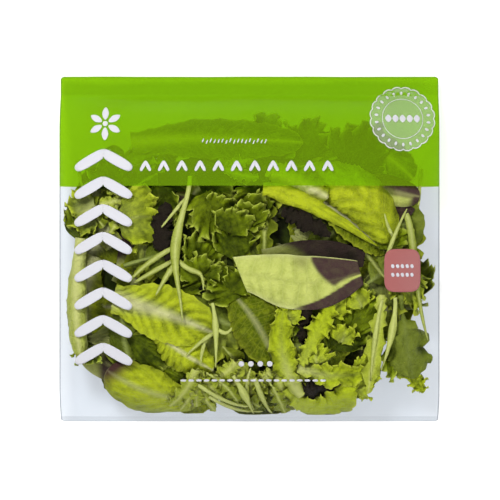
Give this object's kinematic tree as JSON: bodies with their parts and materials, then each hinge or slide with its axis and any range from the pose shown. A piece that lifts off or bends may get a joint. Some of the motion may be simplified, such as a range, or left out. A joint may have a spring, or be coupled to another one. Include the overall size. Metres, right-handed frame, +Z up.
{
  "type": "bag of salad leaves",
  "caption": "Clear sealed pillow bag of mixed salad leaves, lying on its back, with a green printed band across the head and a flat crimped seal at each end.",
  "frame": {"origin": "on the table under the middle of the bag's outline", "axes": "+X across the bag from its left side fold to its right one as the print is seen, +Y from the bottom seal to the top seal, +Z up through the printed side"},
  "size_m": [0.285, 0.26, 0.0533],
  "materials": {
    "clear_film": "thin clear film with a soft gloss",
    "band_ink": "lime green ink on film, slightly see-through",
    "white_ink": "opaque white ink on film",
    "rose_ink": "dusty rose ink on film, slightly see-through",
    "green_leaf": "fresh green lettuce leaf with a pale rib",
    "red_leaf": "red lettuce leaf, purple brown towards the tip"
  },
  "bodies": {
    "root": {"salad_bag": "clear_film"}
  },
  "joints": []
}
